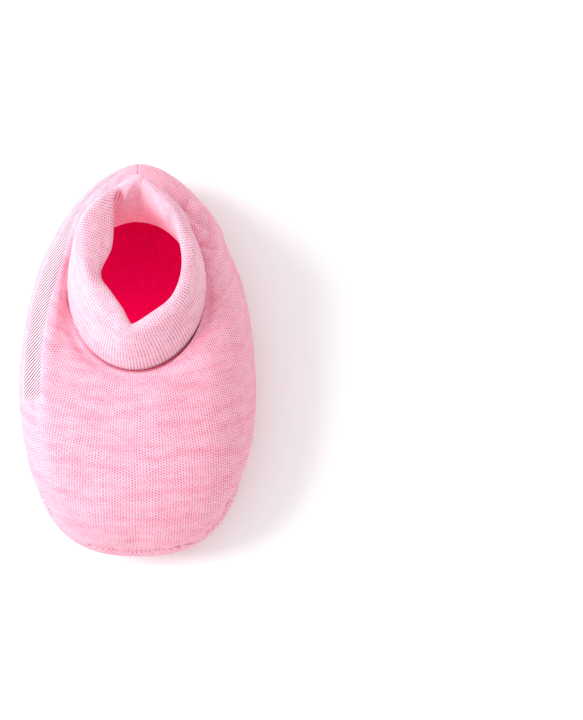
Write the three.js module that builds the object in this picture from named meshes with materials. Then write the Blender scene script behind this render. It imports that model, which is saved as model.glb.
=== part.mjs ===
// A newborn's soft bootie in cotton interlock jersey: an outer bag, a lining bag and a folded ankle cuff.
// Millimetres, +Z up. The origin is on the floor under the middle of the foot, the toe points to -Y
// and the heel to +Y. Every panel is cut flat and sewn, so each is a thin solid of its own, and each
// seam's thread is a solid of its own in the space between the two bags.
import * as THREE from "three";

// Overall sizes
const bootLength = 110; // heel to toe
const bootWidth = 65.5; // across the ball of the foot
const instepHeight = 34; // outer upper, at the front of the cuff seam
const heelHeight = 30; // outer upper, at the back of the cuff seam
const bulgeHeight = 11; // where the side wall stands out furthest
const footRadius = 12; // rounding from the flat sole up into the side wall

// Cloth
const outerCloth = 1.1; // thickness of the outer jersey and of one layer of the cuff
const liningCloth = 0.9;
const layerSpace = 1.6; // between the outer bag and the lining bag, for the turned-in seams
const seamGap = 0.35; // between two panels that meet at a seam
const thread = 0.8; // thickness of a seam's bundle of overlock threads

// Ankle ring, where the cuff is sewn to the upper
const ringWidth = 37;
const ringLength = 43;
const ringCentre = 14.8; // how far its middle lies behind the foot's

// Cuff: one band folded double, which narrows and leans back as it rises
const cuffRise = 13.5;
const foldSpace = 1.4; // between the two layers of the band
const rimWidth = 31; // outside the fold
const rimLength = 42;
const rimLean = 9.6; // how far the rim's middle lies behind the ring's
const rimTilt = 1.5; // the rim slopes this much less than the ring, each way from its middle
const cuffBulge = 1.2;

// The foot is an egg, blunt at the toe and narrow at the heel. Each half is |x|/halfWidth =
// (1 - |y|^bend)^fullness, with y a share of that half's length from the widest place.
const widestPlace = -10.8; // where the ball of the foot is, in front of the middle
const heelBend = 2.2;
const heelFullness = 0.6;
const toeBend = 2;
const toeFullness = 0.35;
const bulgeTilt = 1; // the side wall's widest line is this much higher at the heel and lower at the toe

// Sole seam: under the side wall from the heel to the arch, and over the edge at the toe
const heelSeamRoll = THREE.MathUtils.degToRad(-58);
const toeSeamRoll = THREE.MathUtils.degToRad(15);
const seamClimbStart = 0.28; // as shares of the half length from the middle, + to the heel
const seamClimbEnd = -0.74;

// How finely the faceted solids follow the cloth
const outerColumns = 48;
const liningColumns = 36;
const threadSides = 5;

const floorRoll = -Math.PI / 2;
const ringRoll = Math.PI / 2;
const cuffThickness = 2 * outerCloth + foldSpace;
const liningDepth = outerCloth + layerSpace;
const threadDepth = outerCloth + layerSpace / 2;
const fullTurn = 2 * Math.PI;

// ---------- The bag's shape ----------
// A place on a bag is given by three values: around, the angle from the centre back; roll, from the
// floor through the widest place (0) up to the ankle ring; and depth, how far under the outside face.

function outlinePoint(around, depth) {
  const heelward = Math.cos(around);
  const atHeel = heelward > 0;
  const halfLength = bootLength / 2 + (atHeel ? -widestPlace : widestPlace);
  const [bend, fullness] = atHeel ? [heelBend, heelFullness] : [toeBend, toeFullness];
  const share = Math.max(0, 1 - Math.abs(heelward) ** bend) ** fullness;
  return new THREE.Vector2(
    Math.sign(Math.sin(around)) * (bootWidth / 2 - depth) * share,
    widestPlace + (halfLength - depth) * heelward,
  );
}

function ringHeight(around) {
  return (instepHeight + heelHeight) / 2 - ((instepHeight - heelHeight) / 2) * Math.cos(around);
}

// reach is how far inside the ankle seam the panel's edge comes
function ringPoint(around, reach) {
  return new THREE.Vector2(
    (ringWidth / 2 - reach) * Math.sin(around),
    ringCentre + (ringLength / 2 - reach) * Math.cos(around),
  );
}

function bagPoint(around, roll, depth, reach = 0) {
  const edge = outlinePoint(around, depth);
  const widest = bulgeHeight + bulgeTilt * Math.cos(around);
  if (roll < 0) {
    const inset = (footRadius - depth) * (1 - Math.cos(roll));
    const plan = edge.clone().setLength(edge.length() - inset);
    return new THREE.Vector3(plan.x, plan.y, depth + (widest - depth) * (1 + Math.sin(roll)));
  }
  const plan = ringPoint(around, reach).lerp(edge, Math.cos(roll));
  const top = ringHeight(around) - depth;
  return new THREE.Vector3(plan.x, plan.y, widest + (top - widest) * Math.sin(roll));
}

function seamRoll(around) {
  const heelward = Math.cos(around);
  const climb = THREE.MathUtils.smoothstep(-heelward, -seamClimbStart, -seamClimbEnd);
  return THREE.MathUtils.lerp(heelSeamRoll, toeSeamRoll, climb);
}

// The roll that lies a given distance up the bag from another roll, negative for down
function rollPast(around, roll, distance, depth, reach) {
  const small = 0.01;
  const here = bagPoint(around, roll, depth, reach);
  const speed = here.distanceTo(bagPoint(around, roll + small, depth, reach)) / small;
  return roll + distance / speed;
}

// ---------- Solids ----------

// A closed solid swept round the bootie. sectionAt(around) gives the section's corners in order.
// A section that starts and ends on the middle of the sole closes there; any other closes on itself.
// A band that stops at the centre back is closed there by its two end faces.
function sweptSolid(sectionAt, columns, { onAxis = false, endGap = 0 } = {}) {
  const joined = endGap === 0;
  const count = joined ? columns : columns + 1;
  const turn = (i) => (joined ? (i / columns) * fullTurn : endGap + (i / columns) * (fullTurn - 2 * endGap));
  const sections = Array.from({ length: count }, (_, i) => sectionAt(turn(i)));
  const corners = sections[0].length;
  const positions = [];
  const addTriangle = (a, b, c) => {
    if (a.distanceTo(b) > 1e-6 && b.distanceTo(c) > 1e-6 && c.distanceTo(a) > 1e-6)
      for (const p of [a, b, c]) positions.push(p.x, p.y, p.z);
  };
  const addQuad = (a, b, c, d) => {
    addTriangle(a, b, c);
    addTriangle(a, c, d);
  };
  for (let i = 0; i < (joined ? columns : count - 1); i++) {
    const here = sections[i];
    const next = sections[(i + 1) % count];
    for (let j = 0; j < (onAxis ? corners - 1 : corners); j++) {
      const k = (j + 1) % corners;
      addQuad(here[j], here[k], next[k], next[j]);
    }
  }
  if (!joined)
    for (let j = 0; j < corners / 2 - 1; j++) {
      const k = corners - 1 - j;
      const [first, last] = [sections[0], sections[count - 1]];
      addQuad(first[j], first[k], first[k - 1], first[j + 1]);
      addQuad(last[j], last[j + 1], last[k - 1], last[k]);
    }
  const geometry = new THREE.BufferGeometry();
  geometry.setAttribute("position", new THREE.Float32BufferAttribute(positions, 3));
  geometry.computeVertexNormals();
  return geometry;
}

const steps = (from, to, count) =>
  Array.from({ length: count + 1 }, (_, i) => THREE.MathUtils.lerp(from, to, i / count));

// The side wall and top of a bag, from its sole seam to the ankle ring
function upperGeometry(face, cloth, seamRise, reach, columns, rows) {
  const back = face + cloth;
  const sectionAt = (around) => {
    const edge = rollPast(around, seamRoll(around), seamRise + seamGap / 2, face, reach);
    const rolls = steps(edge, ringRoll, rows);
    return [
      ...rolls.map((roll) => bagPoint(around, roll, face, reach)),
      ...rolls.reverse().map((roll) => bagPoint(around, roll, back, reach)),
    ];
  };
  return sweptSolid(sectionAt, columns, { endGap: seamGap / ringWidth });
}

// The bottom of a bag, flat in the middle, turned up at its edge to meet the upper
function soleGeometry(face, cloth, seamRise, reach, columns, rows) {
  const sectionAt = (around) => {
    const edge = rollPast(around, seamRoll(around), seamRise - seamGap / 2, face, reach);
    const side = (depth) => {
      const rolls = steps(floorRoll, edge, rows);
      const points = rolls.map((roll) => bagPoint(around, roll, depth, reach));
      const middle = new THREE.Vector3(0, 0, depth);
      return [middle, points[0].clone().lerp(middle, 0.5), ...points];
    };
    return [...side(face), ...side(face + cloth).reverse()];
  };
  return sweptSolid(sectionAt, columns, { onAxis: true });
}

// ---------- The cuff ----------

// The outside face of the cuff: along is the distance up it as a share of its height. Its foot stands
// upright inside the upper's edge, and it leans only above that edge.
const cuffHeight = outerCloth + cuffRise;
const footShare = (outerCloth + seamGap) / cuffHeight;

function cuffWall(around, along) {
  const base = ringPoint(around, seamGap);
  const free = Math.max(0, (along - footShare) / (1 - footShare));
  const sway = Math.sin(Math.PI * Math.min(free, 1)) * cuffBulge;
  const outward = new THREE.Vector2(Math.sin(around) / ringWidth, Math.cos(around) / ringLength).normalize();
  const rim = new THREE.Vector2(
    (rimWidth / 2) * Math.sin(around),
    ringCentre + rimLean + (rimLength / 2) * Math.cos(around),
  );
  const plan = base.clone().lerp(rim, free).addScaledVector(outward, sway);
  const foot = ringHeight(around) - outerCloth;
  const head = ringHeight(around) + cuffRise + rimTilt * Math.cos(around);
  return new THREE.Vector3(plan.x, plan.y, THREE.MathUtils.lerp(foot, head, along));
}

function cuffPoint(around, across, along) {
  const small = 1e-3;
  const here = cuffWall(around, along);
  const up = cuffWall(around, along + small).sub(cuffWall(around, along - small));
  const round = cuffWall(around + small, along).sub(cuffWall(around - small, along));
  const inward = new THREE.Vector3().crossVectors(round, up).normalize();
  return here.addScaledVector(inward, across);
}

// One layer goes up, over the fold and down inside: a hairpin section
function cuffGeometry(columns, wallRows, foldRows) {
  const middle = cuffThickness / 2;
  const hairpin = (radius) => {
    const up = [0, ...steps(footShare, 1, wallRows)].map((along) => [middle - radius, along]);
    const over = steps(Math.PI, 0, foldRows)
      .slice(1, -1)
      .map((angle) => [middle + radius * Math.cos(angle), 1 + (radius * Math.sin(angle)) / cuffHeight]);
    const down = up.map(([across, along]) => [cuffThickness - across, along]).reverse();
    return [...up, ...over, ...down];
  };
  const corners = [...hairpin(middle), ...hairpin(middle - outerCloth).reverse()];
  const sectionAt = (around) => corners.map(([across, along]) => cuffPoint(around, across, along));
  return sweptSolid(sectionAt, columns, { endGap: seamGap / ringWidth });
}

// ---------- Threads ----------

function loopThread(pointAt, columns) {
  const points = Array.from({ length: columns }, (_, i) => pointAt((i / columns) * fullTurn));
  const path = new THREE.CatmullRomCurve3(points, true, "centripetal");
  return new THREE.TubeGeometry(path, columns, thread / 2, threadSides, true);
}

function straightThread(points, segments) {
  const path = new THREE.CatmullRomCurve3(points, false, "centripetal");
  const corners = steps(0, fullTurn, threadSides).slice(0, -1);
  const section = new THREE.Shape(
    corners.map((angle) => new THREE.Vector2(Math.cos(angle), Math.sin(angle)).multiplyScalar(thread / 2)),
  );
  return new THREE.ExtrudeGeometry(section, { steps: segments, extrudePath: path, bevelEnabled: false });
}

// ---------- Assembly ----------

const palePink = { color: 0xf3b4c8, roughness: 0.95, metalness: 0 };
const hotPink = { color: 0xd80a4c, roughness: 0.95, metalness: 0 };
const pinkThread = { color: 0xf6c3d2, roughness: 0.7, metalness: 0 };

const bootie = new THREE.Group();

function addPiece(name, geometry, look) {
  const mesh = new THREE.Mesh(geometry, new THREE.MeshStandardMaterial(look));
  mesh.name = name;
  bootie.add(mesh);
}

// The lining's sole seam lies higher up than the outer one, so that the two sets of thread lie apart
const liningSeamRise = 3;
const liningReach = cuffThickness + seamGap;
const outerSeamRise = 0;

addPiece("outer_sole", soleGeometry(0, outerCloth, outerSeamRise, 0, outerColumns, 4), palePink);
addPiece("outer_upper", upperGeometry(0, outerCloth, outerSeamRise, 0, outerColumns, 7), palePink);
addPiece("cuff_band", cuffGeometry(outerColumns, 4, 6), palePink);
addPiece(
  "lining_sole",
  soleGeometry(liningDepth, liningCloth, liningSeamRise, liningReach, liningColumns, 4),
  hotPink,
);
addPiece(
  "lining_upper",
  upperGeometry(liningDepth, liningCloth, liningSeamRise, liningReach, liningColumns, 6),
  hotPink,
);

// Threads lie half-way between the two bags, beside the seams they close
const seamThreadPoint = (rise) => (around) =>
  bagPoint(around, rollPast(around, seamRoll(around), rise, threadDepth), threadDepth);
addPiece("outer_sole_seam_thread", loopThread(seamThreadPoint(0), liningColumns), pinkThread);
addPiece("lining_sole_seam_thread", loopThread(seamThreadPoint(liningSeamRise), liningColumns), pinkThread);

const cuffSeamPoint = (around) => {
  const plan = ringPoint(around, cuffThickness / 2);
  return new THREE.Vector3(plan.x, plan.y, ringHeight(around) - threadDepth);
};
addPiece("cuff_seam_thread", loopThread(cuffSeamPoint, liningColumns), pinkThread);

// The two centre back seams climb the heel side by side, clear of the loops at their ends
const sideStep = thread + seamGap;
const endClear = 2 * thread;
function backSeamThread(side) {
  const around = (side * sideStep) / ringWidth;
  const start = rollPast(around, seamRoll(around), liningSeamRise + endClear, threadDepth);
  const finish = rollPast(around, ringRoll, -endClear, threadDepth);
  return straightThread(
    steps(start, finish, 6).map((roll) => bagPoint(around, roll, threadDepth)),
    10,
  );
}
addPiece("outer_back_seam_thread", backSeamThread(1), pinkThread);
addPiece("lining_back_seam_thread", backSeamThread(-1), pinkThread);

const cuffThreadPoints = steps(0.1, 0.9, 4).map((along) => cuffPoint(0, cuffThickness / 2, along));
addPiece("cuff_back_seam_thread", straightThread(cuffThreadPoints, 6), pinkThread);

export default bootie;
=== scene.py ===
# A newborn's soft bootie in pale pink melange interlock jersey, with a hot-pink lining.
# The toe points to -Y and the heel to +Y, as in the part's own frame.
from math import atan2, cos, degrees, exp, floor, pi, radians, sin, tau

import bmesh
import bpy
import numpy as np
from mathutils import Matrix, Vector, noise


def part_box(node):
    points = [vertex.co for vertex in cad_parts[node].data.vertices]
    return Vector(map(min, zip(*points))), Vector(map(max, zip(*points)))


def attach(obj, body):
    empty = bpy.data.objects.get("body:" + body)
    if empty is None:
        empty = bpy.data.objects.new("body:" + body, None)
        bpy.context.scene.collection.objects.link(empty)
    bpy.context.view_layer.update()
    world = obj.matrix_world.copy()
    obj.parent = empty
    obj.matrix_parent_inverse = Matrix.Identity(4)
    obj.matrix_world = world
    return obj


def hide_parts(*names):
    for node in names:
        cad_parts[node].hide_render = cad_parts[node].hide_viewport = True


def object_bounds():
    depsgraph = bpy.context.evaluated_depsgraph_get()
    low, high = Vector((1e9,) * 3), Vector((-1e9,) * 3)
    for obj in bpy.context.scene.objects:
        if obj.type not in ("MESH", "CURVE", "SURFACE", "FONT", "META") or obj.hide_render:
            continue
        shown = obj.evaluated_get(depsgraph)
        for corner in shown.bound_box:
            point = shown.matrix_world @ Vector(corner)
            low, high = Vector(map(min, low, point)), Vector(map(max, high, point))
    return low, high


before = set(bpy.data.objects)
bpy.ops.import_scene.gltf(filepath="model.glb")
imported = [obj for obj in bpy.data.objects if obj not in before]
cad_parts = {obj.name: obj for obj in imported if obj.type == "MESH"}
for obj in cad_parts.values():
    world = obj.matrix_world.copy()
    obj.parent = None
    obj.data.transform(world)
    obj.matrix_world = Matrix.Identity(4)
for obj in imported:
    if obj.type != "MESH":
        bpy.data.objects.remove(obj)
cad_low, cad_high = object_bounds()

MM = 0.001
scene = bpy.context.scene

# ---------- Camera ----------
# A long lens looks down on the bootie from a little in front of its toe. The bootie stands left of
# the picture's middle, where one of a pair stands.
camera_tilt = radians(10)
camera_distance = 1.3
picture_height = 199 * MM  # what the picture shows from top to bottom, at the bootie
beside_middle = 42.3 * MM

camera_data = bpy.data.cameras.new("camera")
camera_data.sensor_width = 36
camera_data.lens = camera_data.sensor_width * camera_distance / picture_height
camera_data.clip_end = 20
camera = bpy.data.objects.new("camera", camera_data)
aim = Vector((beside_middle, 0, 11 * MM))
camera.location = aim + camera_distance * Vector((0, -sin(camera_tilt), cos(camera_tilt)))
camera.rotation_euler = (camera_tilt, 0, 0)
scene.collection.objects.link(camera)
scene.camera = camera

# ---------- Floor and light ----------
# A white table under bright studio light: a white surround, and one large soft lamp low on the left.
table_half = 4
table_bm = bmesh.new()
bmesh.ops.create_grid(table_bm, x_segments=1, y_segments=1, size=table_half)
table_mesh = bpy.data.meshes.new("table")
table_bm.to_mesh(table_mesh)
table_bm.free()
table = bpy.data.objects.new("table", table_mesh)
scene.collection.objects.link(table)
table_white = bpy.data.materials.new("white table")
table_white.use_nodes = True
table_shader = table_white.node_tree.nodes["Principled BSDF"]
table_shader.inputs["Base Color"].default_value = (0.97, 0.97, 0.97, 1)
table_shader.inputs["Roughness"].default_value = 0.8
table_shader.inputs["Specular IOR Level"].default_value = 0.2
table_mesh.materials.append(table_white)

surround = bpy.data.worlds.new("studio")
surround.use_nodes = True
surround.node_tree.nodes["Background"].inputs["Color"].default_value = (1, 1, 1, 1)
surround.node_tree.nodes["Background"].inputs["Strength"].default_value = 0.92
scene.world = surround
scene.view_settings.view_transform = "Standard"

lamp = bpy.data.lights.new("soft lamp", "AREA")
lamp.shape = "DISK"
lamp.size = 0.8
lamp.energy = 17
lamp_obj = bpy.data.objects.new("soft lamp", lamp)
lamp_obj.location = (-1, 0.1, 0.8)
lamp_obj.rotation_euler = (-lamp_obj.location).to_track_quat("-Z", "Y").to_euler()
scene.collection.objects.link(lamp_obj)


# ---------- Outer bag, and its sole ----------
# The outer cloth is one bag: a horseshoe-shaped upper, closed at the centre back, sewn round its lower
# edge to an egg-shaped sole. Both are pale pink melange interlock jersey. A place on the bag is given
# by an angle round from the centre back and a roll from the floor, through the widest line (0), to the
# ankle seam. A little air inside rounds it.
upper_low, upper_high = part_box("outer_upper")
half_width = upper_high.x
half_length = (cad_high.y - cad_low.y) / 2
instep_height = upper_high.z
heel_height = instep_height - 4 * MM
widest_place = -10.8 * MM
foot_radius = 12 * MM
ring_half_width = 18.5 * MM
ring_half_length = 22 * MM
ring_centre = 15.1 * MM
heel_seam_roll = radians(-58)
toe_seam_roll = radians(6)

bag_columns = 220
sole_rows = 18
upper_rows = 44
flat_rows = 10  # of the sole's rows, the ones that lie on the floor
simulated_scale = 10  # cloth solvers behave best on pieces about a metre long

cloth_thickness = 1.0 * MM
allowance = 2.0 * MM  # of cloth turned in at a seam
seam_gap = 0.02 * MM
seam_sink = 0.45 * MM
ankle_sink = 0.7 * MM  # how far the ankle edge dips as it turns in
back_groove = 0.4 * MM
row_crowding = 0.7
column_crowding = 0.6


def hump(value, centre, width):
    return exp(-(((value - centre) / width) ** 2))


def smooth(low, high, value):
    """A soft step from 0 at low to 1 at high."""
    share = min(max((value - low) / (high - low), 0), 1)
    return share * share * (3 - 2 * share)


def turn_from(around, centre):
    """How far around lies from centre, from -180 to 180 degrees."""
    return (degrees(around) - centre + 180) % 360 - 180


def outline_point(around):
    heelward = cos(around)
    at_heel = heelward > 0
    reach = half_length + (-widest_place if at_heel else widest_place)
    bend, fullness = (2.2, 0.6) if at_heel else (2, 0.35)
    share = max(0, 1 - abs(heelward) ** bend) ** fullness
    side = 1 if sin(around) > 0 else -1
    return Vector((side * half_width * share, widest_place + reach * heelward))


def ring_height(around):
    return (instep_height + heel_height) / 2 - (instep_height - heel_height) / 2 * cos(around)


def ring_point(around, inset=0):
    return Vector(
        (
            (ring_half_width - inset) * sin(around),
            ring_centre + (ring_half_length - inset) * cos(around),
        )
    )


def seam_roll(around):
    climb = smooth(-0.28, 0.74, -cos(around))
    return heel_seam_roll + (toe_seam_roll - heel_seam_roll) * climb


def bag_point(around, roll):
    edge = outline_point(around)
    widest = 11 * MM + MM * cos(around)
    if roll < 0:
        plan = edge * (1 - foot_radius * (1 - cos(roll)) / edge.length)
        return Vector((plan.x, plan.y, widest * (1 + sin(roll))))
    # the left side stands up straighter, to a soft ridge
    ridge = 0.42 * hump(turn_from(around, 272), 0, 38)
    plan = edge.lerp(ring_point(around), 1 - max(cos(roll), 0) ** (1 - ridge))
    height = widest + (ring_height(around) - widest) * sin(roll) ** (1 - 0.5 * ridge)
    return Vector((plan.x, plan.y, height))


def bag_turn(column):
    """The angle of a column. Columns crowd together at the centre back seam."""
    return tau * column / bag_columns - column_crowding * sin(tau * column / bag_columns)


def upper_share(row):
    """How far up the upper a row lies, from 0 at the sole seam to 1 at the ankle."""
    share = (row - sole_rows) / upper_rows
    return share - row_crowding * sin(tau * share) / tau


def bag_place(column, row):
    """Rows crowd together towards the seams, where the cloth turns in."""
    around = bag_turn(column)
    edge = seam_roll(around)
    if row <= flat_rows:
        return Vector((0, widest_place, 0)).lerp(bag_point(around, -pi / 2), row / flat_rows)
    if row <= sole_rows:
        share = (row - flat_rows) / (sole_rows - flat_rows)
        return bag_point(around, -pi / 2 + (edge + pi / 2) * (1 - (1 - share) ** 1.5))
    return bag_point(around, edge + (pi / 2 - edge) * upper_share(row))


def sheet_of(columns, rows, place):
    """A tube of square cells, joined where its first and last columns meet. Vertices carry their column
    and row; along the join either column may be the one that stays."""
    bm = bmesh.new()
    bmesh.ops.create_grid(bm, x_segments=columns, y_segments=rows, size=1)
    column_layer = bm.verts.layers.int.new("column")
    row_layer = bm.verts.layers.int.new("row")
    for v in bm.verts:
        v[column_layer] = round((v.co.x + 1) / 2 * columns)
        v[row_layer] = round((v.co.y + 1) / 2 * rows)
        v.co = place(v[column_layer], v[row_layer])
    bmesh.ops.remove_doubles(bm, verts=bm.verts, dist=0.01 * MM)
    bmesh.ops.recalc_face_normals(bm, faces=bm.faces)
    return bm


def add_object(name, bm):
    mesh = bpy.data.meshes.new(name)
    bm.to_mesh(mesh)
    obj = bpy.data.objects.new(name, mesh)
    scene.collection.objects.link(obj)
    return obj


def blow_up(bm, held, pressure, cap, drawn):
    """Puffs a bag of cloth with air. held says how firmly a vertex stays, drawn how much a seam draws in."""
    work = bm.copy()
    bmesh.ops.scale(work, vec=[simulated_scale] * 3, verts=work.verts)
    obj = add_object("blown cloth", work)
    work.free()
    hold = obj.vertex_groups.new(name="hold")
    draw = obj.vertex_groups.new(name="draw")
    for i, v in enumerate(bm.verts):
        hold.add([i], held(v), "REPLACE")
        draw.add([i], drawn(v), "REPLACE")
    cloth = obj.modifiers.new("cloth", "CLOTH")
    settings = cloth.settings
    settings.quality = 6
    settings.mass = 0.2
    settings.tension_stiffness = settings.compression_stiffness = 18
    settings.shear_stiffness = 6
    settings.bending_stiffness = 0.8
    settings.use_pressure = True
    settings.uniform_pressure_force = pressure
    settings.vertex_group_mass = hold.name
    settings.vertex_group_shrink = draw.name
    settings.shrink_min = 0
    settings.shrink_max = 0.035
    settings.effector_weights.gravity = 0
    cloth.point_cache.frame_start = 1
    cloth.point_cache.frame_end = 20
    for frame_number in range(1, 21):
        scene.frame_set(frame_number)
    evaluated = obj.evaluated_get(bpy.context.evaluated_depsgraph_get())
    for v, moved in zip(bm.verts, evaluated.data.vertices):
        shift = moved.co / simulated_scale - v.co
        if shift.length > cap:
            shift.length = cap
        v.co += shift
        v.co.z = max(v.co.z, 0)
    scene.frame_set(1)
    bpy.data.objects.remove(obj)


bag = sheet_of(bag_columns, sole_rows + upper_rows, bag_place)
bag_row = bag.verts.layers.int["row"]
bag_column = bag.verts.layers.int["column"]
last_row = sole_rows + upper_rows


def bag_hold(v):
    if v[bag_row] < flat_rows:
        return 1
    return 1 if v[bag_row] == last_row else 0.6 if v[bag_row] > last_row - 4 else 0


blow_up(bag, bag_hold, 2.5, 3 * MM, lambda v: hump(v[bag_row], sole_rows, 0.8))
bag.normal_update()


def ankle_crease_shade(around):
    """How much painted shade falls into the ankle seam's crease under the cuff, which it does round the
    front and the right side.
    """
    return hump(turn_from(around, 128), 0, 62)


def from_line(spot, start, end):
    """How far a place in plan lies from a short straight line."""
    along = (spot - start).dot(end - start) / (end - start).length_squared
    return (spot - start.lerp(end, min(max(along, 0), 1))).length


# creases and soft folds right of the heel, where the cuff was pushed in: two ends in plan, width and depth
creases = [
    ((9.0, 44.0), (13.6, 41.0), 1.1, -1.6),
    ((13.6, 41.0), (18.9, 33.0), 1.3, -2.4),
    ((17.5, 40.2), (22.0, 34.5), 1.6, 1.0),
    ((15.6, 33.6), (20.5, 32.3), 1.4, 1.6),
    ((17.6, 28.4), (20.4, 28.2), 0.9, -2.4),
    ((20.6, 25.2), (21.6, 24.5), 2.2, 1.2),
    ((20.5, 21.0), (19.0, 6.0), 2.6, -1.1),
]
outline = np.array([outline_point(tau * i / 360) for i in range(360)])


def ridge_line(spot):
    """How far in from the outline the left side's ridge lies, in mm. It runs out towards the heel."""
    return 4.4 + 3.4 * smooth(40 * MM, 22 * MM, spot.y)


def dent(around, share, spot, from_edge):
    """How far the cloth stands out, or is pushed in, at a place on the upper once the bag is handled."""
    from_ring = (ring_point(around) - spot).length / MM
    left = hump(turn_from(around, 272), 0, 36)
    ridge = ridge_line(spot)
    out = left * (1.3 * hump(from_edge, ridge + 1.2, 2.4) - 0.8 * hump(from_edge, ridge - 3.5, 2))
    out -= 1.3 * hump(turn_from(around, 262), 0, 50) * hump(from_ring, 1.6, 1.9)
    for start, end, width, depth in creases:
        out += depth * hump(from_line(spot, Vector(start) * MM, Vector(end) * MM) / MM, 0, width)
    out += 0.35 * hump(turn_from(around, 181), 0, 2.2) * hump(share, 0.08, 0.12)  # a pucker at the toe
    pucker = noise.noise(Vector((15.4 * cos(around), 15.4 * sin(around), 0)))
    out += 0.35 * pucker * (1 - smooth(0, 0.12, share))
    broad = noise.noise(Vector((2.2 * cos(around), 2.2 * sin(around), 2.5 * share + 4)))
    return (out + 0.8 * broad * smooth(0, 0.3, share) * (1 - smooth(0.85, 1, share))) * MM


pulled = bag.verts.layers.float.new("pulled")
tucked = bag.verts.layers.float.new("tucked")
for v in bag.verts:
    if v[bag_row] > sole_rows:
        share = upper_share(v[bag_row])
        around = bag_turn(v[bag_column])
        spot = v.co.xy
        from_edge = np.hypot(*(outline - spot).T).min() / MM  # in plan
        side = smooth(56, 48, abs(turn_from(around, 297))) * smooth(-18 * MM, -13 * MM, spot.y)
        side *= smooth(11 * MM, 15 * MM, v.co.z)
        ridge = ridge_line(spot)
        v[pulled] = side * smooth(0.8, 2, from_edge) * smooth(ridge - 0.1, ridge - 0.9, from_edge)
        # painted shade: in the crease under the cuff, round the front and right, and along the sole seam
        # round the toe
        v[tucked] = ankle_crease_shade(around) * (v[bag_row] >= last_row - 1)
        v[tucked] += 0.8 * hump(turn_from(around, 180), 0, 55) * (v[bag_row] <= sole_rows + 1)
        seam = abs((v[bag_column] + bag_columns / 2) % bag_columns - bag_columns / 2)
        v.co += v.normal * (dent(around, share, spot, from_edge) - back_groove * hump(seam, 0, 0.7))
bag.normal_update()
outward = bag.verts.layers.float_vector.new("outward")
for v in bag.verts:
    v[outward] = v.normal


def cut_panel(source, first_row, final_row):
    """The part of a bag between two rows, as a sheet of its own."""
    bm = source.copy()
    row = bm.verts.layers.int["row"]
    inside = {v for v in bm.verts if first_row <= v[row] <= final_row}
    others = [f for f in bm.faces if not inside.issuperset(f.verts)]
    bmesh.ops.delete(bm, geom=others, context="FACES")
    return bm


def turn_in_edge(bm, edge_row, depth, sink):
    """Folds one raw edge of a panel in, as its seam allowance is, with a round turn."""
    row = bm.verts.layers.int["row"]
    out = bm.verts.layers.float_vector["outward"]
    edges = [e for e in bm.edges if e.is_boundary and all(v[row] == edge_row for v in e.verts)]
    rim = {v for e in edges for v in e.verts}
    for v in rim:
        inner = [e.other_vert(v).co - v.co for e in v.link_edges if e.other_vert(v) not in rim]
        v.co += sum(inner, Vector()).normalized() * seam_gap
    for v in rim:
        v.co -= v[out] * sink
    turned = bmesh.ops.extrude_edge_only(bm, edges=edges)["geom"]
    for v in turned:
        if isinstance(v, bmesh.types.BMVert):
            v.co -= v[out] * depth


def finish_cloth(obj, material, thickness=cloth_thickness, levels=1):
    """Gives a sheet its thickness, inwards, and a smooth surface."""
    wall = obj.modifiers.new("thickness", "SOLIDIFY")
    wall.thickness = thickness
    wall.offset = -1
    finer = obj.modifiers.new("finer", "SUBSURF")
    finer.levels = finer.render_levels = levels
    for polygon in obj.data.polygons:
        polygon.use_smooth = True
    obj.data.materials.append(material)
    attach(obj, "root")


class Nodes:
    """Builds a material's nodes, one sum at a time."""

    def __init__(self, material):
        material.use_nodes = True
        self.tree = material.node_tree
        self.shader = self.tree.nodes["Principled BSDF"]

    def add(self, kind, **settings):
        node = self.tree.nodes.new(kind)
        for key, value in settings.items():
            setattr(node, key, value)
        return node

    def join(self, source, socket):
        if isinstance(source, (int, float)):
            socket.default_value = source
        else:
            self.tree.links.new(source, socket)

    def sum(self, operation, *values):
        node = self.add("ShaderNodeMath", operation=operation)
        for value, socket in zip(values, node.inputs):
            self.join(value, socket)
        return node.outputs[0]

    def mix(self, share, first, second):
        node = self.add("ShaderNodeMix", data_type="RGBA")
        self.join(share, node.inputs["Factor"])
        for value, socket in ((first, node.inputs[6]), (second, node.inputs[7])):
            if isinstance(value, tuple):
                socket.default_value = (*value, 1)
            else:
                self.join(value, socket)
        return node.outputs[2]

    def blend(self, share, first, second):
        return self.sum("MULTIPLY_ADD", share, self.sum("SUBTRACT", second, first), first)

    def noise(self, vector, scale, detail=2, roughness=0.5):
        node = self.add("ShaderNodeTexNoise")
        self.join(vector, node.inputs["Vector"])
        self.join(scale, node.inputs["Scale"])
        self.join(detail, node.inputs["Detail"])
        self.join(roughness, node.inputs["Roughness"])
        return node.outputs[0]

    def vector(self, x, y, z=0):
        node = self.add("ShaderNodeCombineXYZ")
        for value, socket in zip((x, y, z), node.inputs):
            self.join(value, socket)
        return node.outputs[0]

    def between(self, value, low, high, to_low=0, to_high=1):
        node = self.add("ShaderNodeMapRange", interpolation_type="SMOOTHSTEP")
        for source, socket in zip((value, low, high, to_low, to_high), node.inputs):
            self.join(source, socket)
        return node.outputs[0]


wale = 0.72 * MM
course = 0.74 * MM
furrow_spacing = 0.96 * MM
# painted shade in the pulled band's open furrows
furrow_shade = (0.07, 0.03, 0.065)
crease_shade_colour = (0.16, 0.004, 0.03)  # painted shade, in the crease under the cuff on the front and right and along the sole seam round the toe


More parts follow.
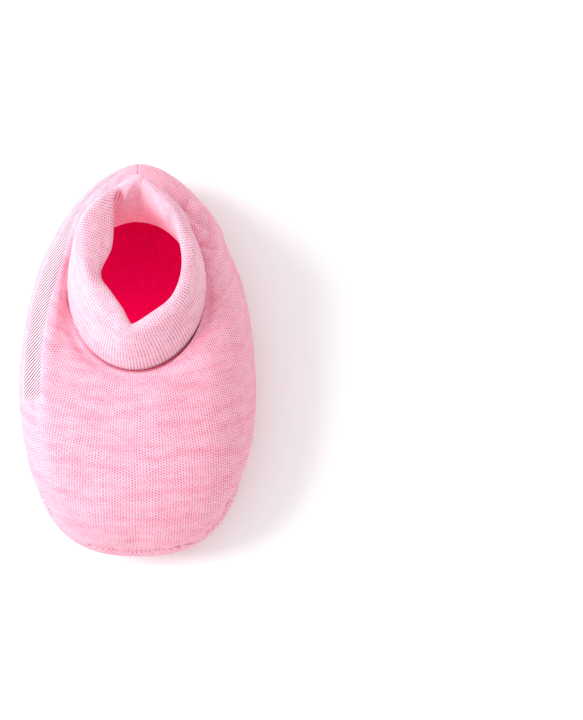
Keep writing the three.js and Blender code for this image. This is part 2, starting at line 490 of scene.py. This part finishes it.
def knit_material(name, pale, deep, pore_shade, glint, bump, melange=1.0, holes=0.9, opened=0.14):
    """Interlock jersey: columns of small loops with furrows between them, which open into pinholes at every
    other loop, in a melange yarn whose lighter and darker lengths show as streaks along the courses. The
    furrows and pinholes are painted dark, as painted shade, and the loops' tops are painted lighter, as a
    painted highlight."""
    material = bpy.data.materials.new(name)
    nodes = Nodes(material)
    flat = nodes.add("ShaderNodeUVMap", uv_map="cloth").outputs[0]
    place = nodes.add("ShaderNodeSeparateXYZ")
    nodes.join(flat, place.inputs[0])
    # hand-held cloth never lies quite straight, and its loops are never quite alike
    wander = nodes.sum("MULTIPLY", nodes.sum("SUBTRACT", nodes.noise(flat, 90, 1), 0.5), 1.6)
    unlike = nodes.sum("MULTIPLY", nodes.sum("SUBTRACT", nodes.noise(flat, 900, 1), 0.5), 0.55)
    across = nodes.sum("ADD", nodes.sum("DIVIDE", place.outputs[0], wale), wander)
    along = nodes.sum("ADD", nodes.sum("DIVIDE", place.outputs[1], course), unlike)
    rib = nodes.sum("COSINE", nodes.sum("MULTIPLY", across, tau))
    stagger = nodes.sum("COSINE", nodes.sum("MULTIPLY", across, pi))
    lattice = nodes.sum("MULTIPLY", nodes.sum("COSINE", nodes.sum("MULTIPLY", along, tau)), stagger)
    uneven = nodes.between(nodes.noise(flat, 420, 2), 0.25, 0.7, 0.35, 1)
    opening = nodes.sum("MAXIMUM", nodes.between(lattice, 0.2, -0.8), opened)
    hollow = nodes.sum("MULTIPLY", nodes.between(rib, -0.1, 0.9), opening)
    height = nodes.sum("SUBTRACT", nodes.sum("MULTIPLY", lattice, 0.4), nodes.sum("MULTIPLY", rib, 0.25))
    # round the left side the cloth is pulled askew, and its furrows lie open on the slant. They are colour
    # and relief laid across the band in plan, not cut into the mesh: the furrows are painted shade, and the
    # yarn between them is painted paler towards glint, a painted highlight where the band faces the lamp
    askew = nodes.add("ShaderNodeAttribute", attribute_name="pulled").outputs["Fac"]
    spot = nodes.add("ShaderNodeSeparateXYZ")
    nodes.join(nodes.add("ShaderNodeTexCoord").outputs["Object"], spot.inputs[0])
    slant = nodes.sum("DIVIDE", nodes.sum("SUBTRACT", spot.outputs[0], spot.outputs[1]), furrow_spacing)
    slant = nodes.sum("COSINE", nodes.sum("MULTIPLY", nodes.sum("ADD", slant, wander), tau))
    hollow = nodes.blend(askew, hollow, nodes.between(slant, -0.45, 0.35))
    hollow = nodes.sum("MULTIPLY", hollow, nodes.sum("MAXIMUM", uneven, askew))
    height = nodes.blend(askew, height, nodes.sum("MULTIPLY", slant, -0.5))
    # melange streaks, long along the courses and a stitch or two high
    stretched = nodes.vector(
        nodes.sum("MULTIPLY", place.outputs[0], 80), nodes.sum("MULTIPLY", place.outputs[1], 380)
    )
    streaks = nodes.between(nodes.noise(stretched, 1, 3, 0.55), 0.35, 0.75)
    fine = nodes.vector(
        nodes.sum("MULTIPLY", place.outputs[0], 600), nodes.sum("MULTIPLY", place.outputs[1], 2200)
    )
    fibres = nodes.between(nodes.noise(fine, 1, 2, 0.5), 0.3, 0.75)
    shade = nodes.sum(
        "ADD", nodes.sum("MULTIPLY", streaks, 0.6 * melange), nodes.sum("MULTIPLY", fibres, 0.4)
    )
    yarn = nodes.mix(shade, pale, deep)
    # the loops' tops are painted lighter towards glint: a painted highlight
    top = nodes.sum("MULTIPLY", nodes.between(lattice, -0.1, 0.8), nodes.between(rib, 1, -0.6, 0.3, 1))
    yarn = nodes.mix(nodes.sum("MULTIPLY", top, 0.45), yarn, glint)
    # the pulled band's yarn is painted paler, a painted highlight, and its furrows darker, painted shade
    yarn = nodes.mix(nodes.sum("MULTIPLY", askew, 0.75), yarn, glint)
    pore_shade_here = nodes.mix(askew, pore_shade, furrow_shade)
    # the furrows and pinholes are painted dark: painted shade in the hollows
    colour = nodes.mix(nodes.sum("MULTIPLY", hollow, holes), yarn, pore_shade_here)
    # painted shade in the seams' creases
    shaded_crease_here = nodes.add("ShaderNodeAttribute", attribute_name="tucked").outputs["Fac"]
    colour = nodes.mix(shaded_crease_here, colour, crease_shade_colour)
    nodes.join(colour, nodes.shader.inputs["Base Color"])
    nodes.shader.inputs["Roughness"].default_value = 0.92
    nodes.shader.inputs["Specular IOR Level"].default_value = 0.1
    nodes.shader.inputs["Sheen Weight"].default_value = 0.2
    nodes.shader.inputs["Sheen Roughness"].default_value = 0.5
    relief = nodes.add("ShaderNodeBump")
    relief.inputs["Strength"].default_value = 1
    relief.inputs["Distance"].default_value = bump
    nodes.join(height, relief.inputs["Height"])
    nodes.join(relief.outputs[0], nodes.shader.inputs["Normal"])
    return material


# the dark of the pinholes and furrows between loops is painted shade
pore_shade_pink = (0.2, 0.045, 0.115)
outer_jersey = knit_material(
    "pink melange jersey", (0.98, 0.48, 0.6), (0.95, 0.28, 0.4), pore_shade_pink, (1, 0.7, 0.8), 0.16 * MM
)


def flat_cut(obj, first_row, final_row):
    """Lays a sewn panel out flat again, in metres, as it was cut: open at the centre back, and turned so
    that its wales run up the middle of the toe, between two rows."""
    mesh = obj.data
    column, row = (
        np.array([item.value for item in mesh.attributes[name].data]) for name in ("column", "row")
    )
    for edge in mesh.edges:
        edge.use_seam = all(column[v] % bag_columns == 0 for v in edge.vertices)
    mesh.uv_layers.new(name="cloth")
    bpy.context.view_layer.objects.active = obj
    obj.select_set(True)
    bpy.ops.object.mode_set(mode="EDIT")
    bpy.ops.mesh.select_all(action="SELECT")
    bpy.ops.uv.unwrap(method="MINIMUM_STRETCH", iterations=60, margin=0)
    bpy.ops.object.mode_set(mode="OBJECT")
    obj.select_set(False)
    flat = np.empty(len(mesh.loops) * 2)
    mesh.uv_layers["cloth"].data.foreach_get("uv", flat)
    flat = flat.reshape(-1, 2)
    real = sum(p.area for p in mesh.polygons)
    laid = 0
    for p in mesh.polygons:
        corners = [Vector(flat[i]).to_3d() for i in p.loop_indices]
        laid += sum(
            (b - corners[0]).cross(c - corners[0]).length / 2 for b, c in zip(corners[1:], corners[2:])
        )
    flat *= (real / laid) ** 0.5
    ends = {}
    for loop, uv in zip(mesh.loops, flat):
        if column[loop.vertex_index] == bag_columns // 2:
            ends[row[loop.vertex_index]] = uv
    lean = ends[final_row] - ends[first_row]
    turn = np.arctan2(lean[0], lean[1])
    flat = flat @ np.array([[cos(turn), sin(turn)], [-sin(turn), cos(turn)]])
    mesh.uv_layers["cloth"].data.foreach_set("uv", flat.ravel())


def lay_sole_flat(obj):
    """Lays a sole out flat, in metres, as it was cut: what stands up round it is folded down outwards."""
    flat = obj.data.uv_layers.new(name="cloth")
    for loop, corner in zip(obj.data.loops, flat.data):
        spot = obj.data.vertices[loop.vertex_index].co
        corner.uv = spot.xy + spot.xy.normalized() * spot.z


sole = cut_panel(bag, 0, sole_rows)
turn_in_edge(sole, sole_rows, allowance, seam_sink)
outer_sole = add_object("outer_sole_cloth", sole)
lay_sole_flat(outer_sole)
finish_cloth(outer_sole, outer_jersey)
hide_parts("outer_sole")

# ---------- Upper ----------
# One horseshoe of the same jersey makes the toe, sides and heel. Its two ends meet in the centre back
# seam, and its lower edge is sewn, right sides together, to the sole.
upper = cut_panel(bag, sole_rows, last_row)
turn_in_edge(upper, sole_rows, allowance, seam_sink)
turn_in_edge(upper, last_row, allowance, ankle_sink)
outer_upper = add_object("outer_upper_cloth", upper)
flat_cut(outer_upper, sole_rows + 6, last_row - 6)
finish_cloth(outer_upper, outer_jersey)
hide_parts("outer_upper")

# ---------- Cuff ----------
# One strip of the same jersey, folded double along its length and sewn round the ankle hole. It is cut
# shorter than the hole, so it leans in to a soft shoulder and a rounded fold.
cuff_columns = 168
cuff_rows = 48
# round the ankle from the centre back: angle at the seam, shoulder and rim as x, y and height, and the
# radius that the fold turns through, in mm
cuff_stations = [
    (0, (0.5, 43.0, 41), (0.6, 45.8, 46), 1.6),
    (20, (6.0, 40.6, 41), (6.4, 43.0, 46), 2.1),
    (45, (12.8, 34.6, 41), (12.9, 35.6, 46), 2.5),
    (72, (16.2, 27.5, 41.5), (14.0, 27.0, 45), 2),
    (95, (16.2, 18.5, 42), (14.2, 19.0, 45), 1.7),
    (118, (13.6, 9.5, 42), (11.0, 11.3, 45), 1.7),
    (145, (7.2, 2.8, 42), (5.0, 6.6, 45), 1.7),
    (180, (-1.4, -0.4, 42), (-1.1, 3.4, 44.6), 1.7),
    (212, (-8.0, 4.0, 42), (-4.2, 8.6, 45), 1.7),
    (240, (-12.6, 12.5, 43), (-7.4, 14.2, 44.4), 1.7),
    (262, (-14.9, 20.0, 44.2), (-8.8, 18.8, 43.0), 1.7),
    (288, (-15.4, 28.0, 45.4), (-5.9, 25.5, 42.2), 1.7),
    (315, (-13.4, 35.3, 45.4), (-5.4, 33.3, 42.8), 1.6),
    (340, (-6.8, 41.0, 43.5), (-5.2, 41.5, 45.8), 1.6),
]


def spline(points, share, closed):
    """A smooth curve through points, at share of the way along it from 0 to 1."""
    count = len(points) if closed else len(points) - 1
    step = share * count if closed else min(share * count, count - 1e-9)
    i = floor(step)
    t = step - i
    places = [i + k for k in (-1, 0, 1, 2)]
    if closed:
        a, b, c, d = (points[k % count] for k in places)
    else:
        a, b, c, d = (points[min(max(k, 0), count)] for k in places)
    bend = 2 * a - 5 * b + 4 * c - d
    return 0.5 * (2 * b + (c - a) * t + bend * t * t + (3 * b - a - 3 * c + d) * t**3)


def evenly(points, count):
    """count + 1 places an equal length apart along a smooth open curve, and the curve's length."""
    fine = [spline(points, i / 200, False) for i in range(201)]
    run = np.concatenate([[0], np.cumsum([(b - a).length for a, b in zip(fine, fine[1:])])])
    wanted = np.linspace(0, run[-1], count + 1)
    places = [Vector([np.interp(w, run, [p[k] for p in fine]) for k in range(3)]) for w in wanted]
    return places, run[-1]


station_angles = [Vector((cos(radians(a)), sin(radians(a)), 0)) for a, _, _, _ in cuff_stations]
shoulders = [Vector(s) * MM for _, s, _, _ in cuff_stations]
rims = [Vector(r) * MM for _, _, r, _ in cuff_stations]
folds = [Vector((f, 0, 0)) * MM for _, _, _, f in cuff_stations]


def cuff_section(share):
    """The cloth's path at one place round the cuff: up outside, over the fold and down inside."""
    direction = spline(station_angles, share, True)
    around = atan2(direction.y, direction.x)
    shoulder, rim = spline(shoulders, share, True), spline(rims, share, True)
    fold = spline(folds, share, True).x
    tangent = spline(rims, share + 0.01, True) - spline(rims, share - 0.01, True)
    lie = (rim - shoulder).normalized()
    under = tangent.cross(lie).normalized()
    foot = ring_point(around, 0.25 * MM)
    outer_foot = Vector((foot.x, foot.y, ring_height(around) - 2.6 * MM))
    inner = ring_point(around, (2.6 - 0.8 * cos(around)) * MM)
    inner_foot = Vector((inner.x, inner.y, ring_height(around) - 2.6 * MM))
    turned = rim - lie * 1.2 * fold + under * 2 * fold
    return [
        outer_foot,
        outer_foot.lerp(shoulder, 0.3) + Vector((sin(around), cos(around), 0)) * 1.3 * MM,
        shoulder,
        rim - lie * fold,
        rim + under * fold,
        turned,
        turned.lerp(inner_foot, 0.4),
        turned.lerp(inner_foot, 0.75),
        inner_foot,
    ]


cuff_strips = [evenly(cuff_section(i / cuff_columns), cuff_rows) for i in range(cuff_columns)]
# how many columns the cuff's own seam drifts by, outside up to the fold and inside down from it
seam_shift = 5.1
seam_slant = 6.5


def cuff_place(column, row):
    """The strip was sewn a little askew, so its ends meet in a slanting seam."""
    share = row / cuff_rows
    drift = seam_slant * smooth(0.5, 1, share) - seam_shift * smooth(0, 0.4, share)
    drift *= hump((column + cuff_columns / 2) % cuff_columns - cuff_columns / 2, 0, 22)
    before = floor(column - drift)
    here, after = (cuff_strips[k % cuff_columns][0][row] for k in (before, before + 1))
    return here.lerp(after, column - drift - before)


cuff = sheet_of(cuff_columns, cuff_rows, cuff_place)
cuff.normal_update()
outward = cuff.verts.layers.float_vector.new("outward")
tucked = cuff.verts.layers.float.new("tucked")
cuff_row, cuff_column = cuff.verts.layers.int["row"], cuff.verts.layers.int["column"]
for v in cuff.verts:
    v[outward] = v.normal
    # painted shade on the cuff's foot, in the crease over the upper, round the front and right
    v[tucked] = ankle_crease_shade(tau * v[cuff_column] / cuff_columns) * (v[cuff_row] < 2)
cuff_end = sorted(
    (v for v in cuff.verts if v[cuff_column] % cuff_columns == 0), key=lambda v: v[cuff_row]
)[10:-14]
cuff_end_places = [v.co.copy() for v in cuff_end]
cuff_end_outs = [v[outward].copy() for v in cuff_end]
for v in cuff.verts:
    seam = abs((v[cuff_column] + cuff_columns / 2) % cuff_columns - cuff_columns / 2)
    v.co -= v[outward] * 0.6 * back_groove * hump(seam, 0, 0.7)
cuff_length = 118 * MM
flat = cuff.loops.layers.uv.new("cloth")
for face in cuff.faces:
    highest = max(corner.vert[cuff_column] % cuff_columns for corner in face.loops)
    last_column = highest == cuff_columns - 1
    for corner in face.loops:
        v = corner.vert
        column = v[cuff_column] % cuff_columns or (cuff_columns if last_column else 0)
        height = cuff_strips[v[cuff_column] % cuff_columns][1]
        corner[flat].uv = (column / cuff_columns * cuff_length, v[cuff_row] / cuff_rows * height)
cuff_obj = add_object("cuff_cloth", cuff)
cuff_jersey = knit_material(
    "pink cuff jersey",
    (0.98, 0.57, 0.69),
    (0.96, 0.4, 0.52),
    pore_shade_pink,
    (1, 0.76, 0.85),
    0.16 * MM,
    opened=0.34,
)
finish_cloth(cuff_obj, cuff_jersey, 0.8 * MM)
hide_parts("cuff_band")

# ---------- Lining ----------
# A second bag of thinner, plain hot-pink jersey inside the first: an upper and a sole, sewn with their
# allowances between the layers, and joined to the cuff's inner edge at the ankle. Its right side faces
# the foot. Its sole seam stands higher than the outer one, so that the two don't lie on each other.
lining_depth = 3.3 * MM
lining_thickness = 0.8 * MM
lining_allowance = 1.3 * MM
lining_seam_sink = 0.25 * MM
lining_seam_row = sole_rows + 8
lining_jersey = knit_material(
    "hot pink jersey",
    (0.9, 0.0015, 0.22),
    (0.84, 0.001, 0.18),
    (0.5, 0.0005, 0.07),
    (0.95, 0.003, 0.22),
    0.1 * MM,
    0.7,
    0.2,
)
lining_jersey.node_tree.nodes["Principled BSDF"].inputs["Sheen Weight"].default_value = 0
lining_jersey.node_tree.nodes["Principled BSDF"].inputs["Specular IOR Level"].default_value = 0.03

lining = bag.copy()
out = lining.verts.layers.float_vector["outward"]
for v in lining.verts:
    v.co -= v[out] * lining_depth
    v[out] = -v[out]
bmesh.ops.reverse_faces(lining, faces=lining.faces)
lining_sole_cut = cut_panel(lining, 0, lining_seam_row)
turn_in_edge(lining_sole_cut, lining_seam_row, lining_allowance, lining_seam_sink)
lining_sole = add_object("lining_sole_cloth", lining_sole_cut)
lay_sole_flat(lining_sole)
finish_cloth(lining_sole, lining_jersey, lining_thickness)
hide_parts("lining_sole")

lining_upper_cut = cut_panel(lining, lining_seam_row, last_row)
turn_in_edge(lining_upper_cut, lining_seam_row, lining_allowance, lining_seam_sink)
turn_in_edge(lining_upper_cut, last_row, lining_allowance, 0)
lining_upper = add_object("lining_upper_cloth", lining_upper_cut)
flat_cut(lining_upper, lining_seam_row + 4, last_row - 6)
finish_cloth(lining_upper, lining_jersey, lining_thickness)
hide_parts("lining_upper")

# a small hidden lamp inside the toe stands in for the light that comes through the thin cloth
glow = bpy.data.lights.new("light through the cloth", "POINT")
glow.energy = 0.022
glow.shadow_soft_size = 6 * MM
glow_obj = bpy.data.objects.new("light through the cloth", glow)
glow_obj.location = (0, -24 * MM, 16 * MM)
glow_obj.visible_camera = False
scene.collection.objects.link(glow_obj)

# ---------- Seam threads ----------
# Polyester overlock thread binds the allowances together along each of the six seams. It loops over their
# raw edges, inside the bootie, and goes through both layers of cloth close to the seam line.
thread_radius = 0.15 * MM
loop_spacing = 2.2 * MM
loop_points = 12
thread_material = bpy.data.materials.new("pink sewing thread")
thread_nodes = Nodes(thread_material)
thread_place = thread_nodes.add("ShaderNodeTexCoord").outputs["Object"]
plies = thread_nodes.between(thread_nodes.noise(thread_place, 4200, 2), 0.35, 0.65)
thread_nodes.join(
    thread_nodes.mix(plies, (0.92, 0.5, 0.6), (0.78, 0.28, 0.4)), thread_nodes.shader.inputs["Base Color"]
)
thread_nodes.shader.inputs["Roughness"].default_value = 0.55
thread_relief = thread_nodes.add("ShaderNodeBump")
thread_relief.inputs["Distance"].default_value = 0.06 * MM
thread_nodes.join(plies, thread_relief.inputs["Height"])
thread_nodes.join(thread_relief.outputs[0], thread_nodes.shader.inputs["Normal"])


def overlock(node, places, outs, centre, half_depth, half_width, closed):
    """Loops thread round a seam whose line runs through places. centre is how deep the loops' middle lies
    below them, against outs."""
    ahead = [b - a for a, b in zip(places, places[1:] + places[:1])]
    if not closed:
        ahead[-1] = ahead[-2]
    steps = ahead[: None if closed else -1]
    run = np.concatenate([[0], np.cumsum([step.length for step in steps])])
    turns = round(run[-1] / loop_spacing)
    count = turns * loop_points
    nodes_here = range(len(run))
    spline_places = places + places[:1] if closed else places
    spline_outs = outs + outs[:1] if closed else outs
    spline_ahead = ahead + ahead[:1] if closed else ahead
    curve = bpy.data.curves.new(node, "CURVE")
    curve.dimensions = "3D"
    curve.bevel_depth = thread_radius
    curve.bevel_resolution = 1
    line = curve.splines.new("POLY")
    line.points.add(count - 1 if closed else count)
    line.use_cyclic_u = closed
    for i, point in enumerate(line.points):
        at = float(np.interp(run[-1] * i / count, run, nodes_here))
        k = min(int(at), len(run) - 2)
        place, out_here, way = (
            group[k].lerp(group[k + 1], at - k) for group in (spline_places, spline_outs, spline_ahead)
        )
        beside = way.cross(out_here).normalized()
        phase = tau * i / loop_points
        co = place - out_here * (centre - half_depth * cos(phase)) + beside * half_width * sin(phase)
        point.co = (*co, 1)
    obj = bpy.data.objects.new(node.replace("_thread", "_overlock"), curve)
    scene.collection.objects.link(obj)
    curve.materials.append(thread_material)
    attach(obj, "root")
    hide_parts(node)


def bag_line(bm, row=None, column=None, first_row=0):
    """The vertices along one row of a bag, or up one column, as places and outward directions."""
    row_layer, column_layer = bm.verts.layers.int["row"], bm.verts.layers.int["column"]
    out_layer = bm.verts.layers.float_vector["outward"]
    if row is not None:
        line = sorted((v for v in bm.verts if v[row_layer] == row), key=lambda v: v[column_layer])
    else:
        line = [v for v in bm.verts if v[column_layer] % bag_columns == column]
        line = sorted((v for v in line if v[row_layer] >= first_row), key=lambda v: v[row_layer])
    return [v.co.copy() for v in line], [v[out_layer].copy() for v in line]


overlock("outer_sole_seam_thread", *bag_line(bag, row=sole_rows), 2.3 * MM, 0.7 * MM, 1.1 * MM, True)
outer_back = bag_line(bag, column=0, first_row=sole_rows)
overlock("outer_back_seam_thread", *outer_back, 1.9 * MM, 0.7 * MM, 1.1 * MM, False)
lining_ring = bag_line(lining, row=lining_seam_row)
overlock("lining_sole_seam_thread", *lining_ring, 1.1 * MM, 0.5 * MM, 0.9 * MM, True)
lining_back = bag_line(lining, column=0, first_row=lining_seam_row)
overlock("lining_back_seam_thread", *lining_back, 1.1 * MM, 0.5 * MM, 0.9 * MM, False)
ring_places, ring_outs = [], []
for i in range(cuff_columns):
    around = tau * i / cuff_columns
    spot = ring_point(around, (0.9 - 0.5 * cos(around)) * MM)
    ring_places.append(Vector((spot.x, spot.y, ring_height(around))))
    ring_outs.append(Vector((0, 0, 1)))
overlock("cuff_seam_thread", ring_places, ring_outs, 4.8 * MM, 0.4 * MM, 0.5 * MM, True)
overlock("cuff_back_seam_thread", cuff_end_places, cuff_end_outs, 1.05 * MM, 0.12 * MM, 0.6 * MM, False)
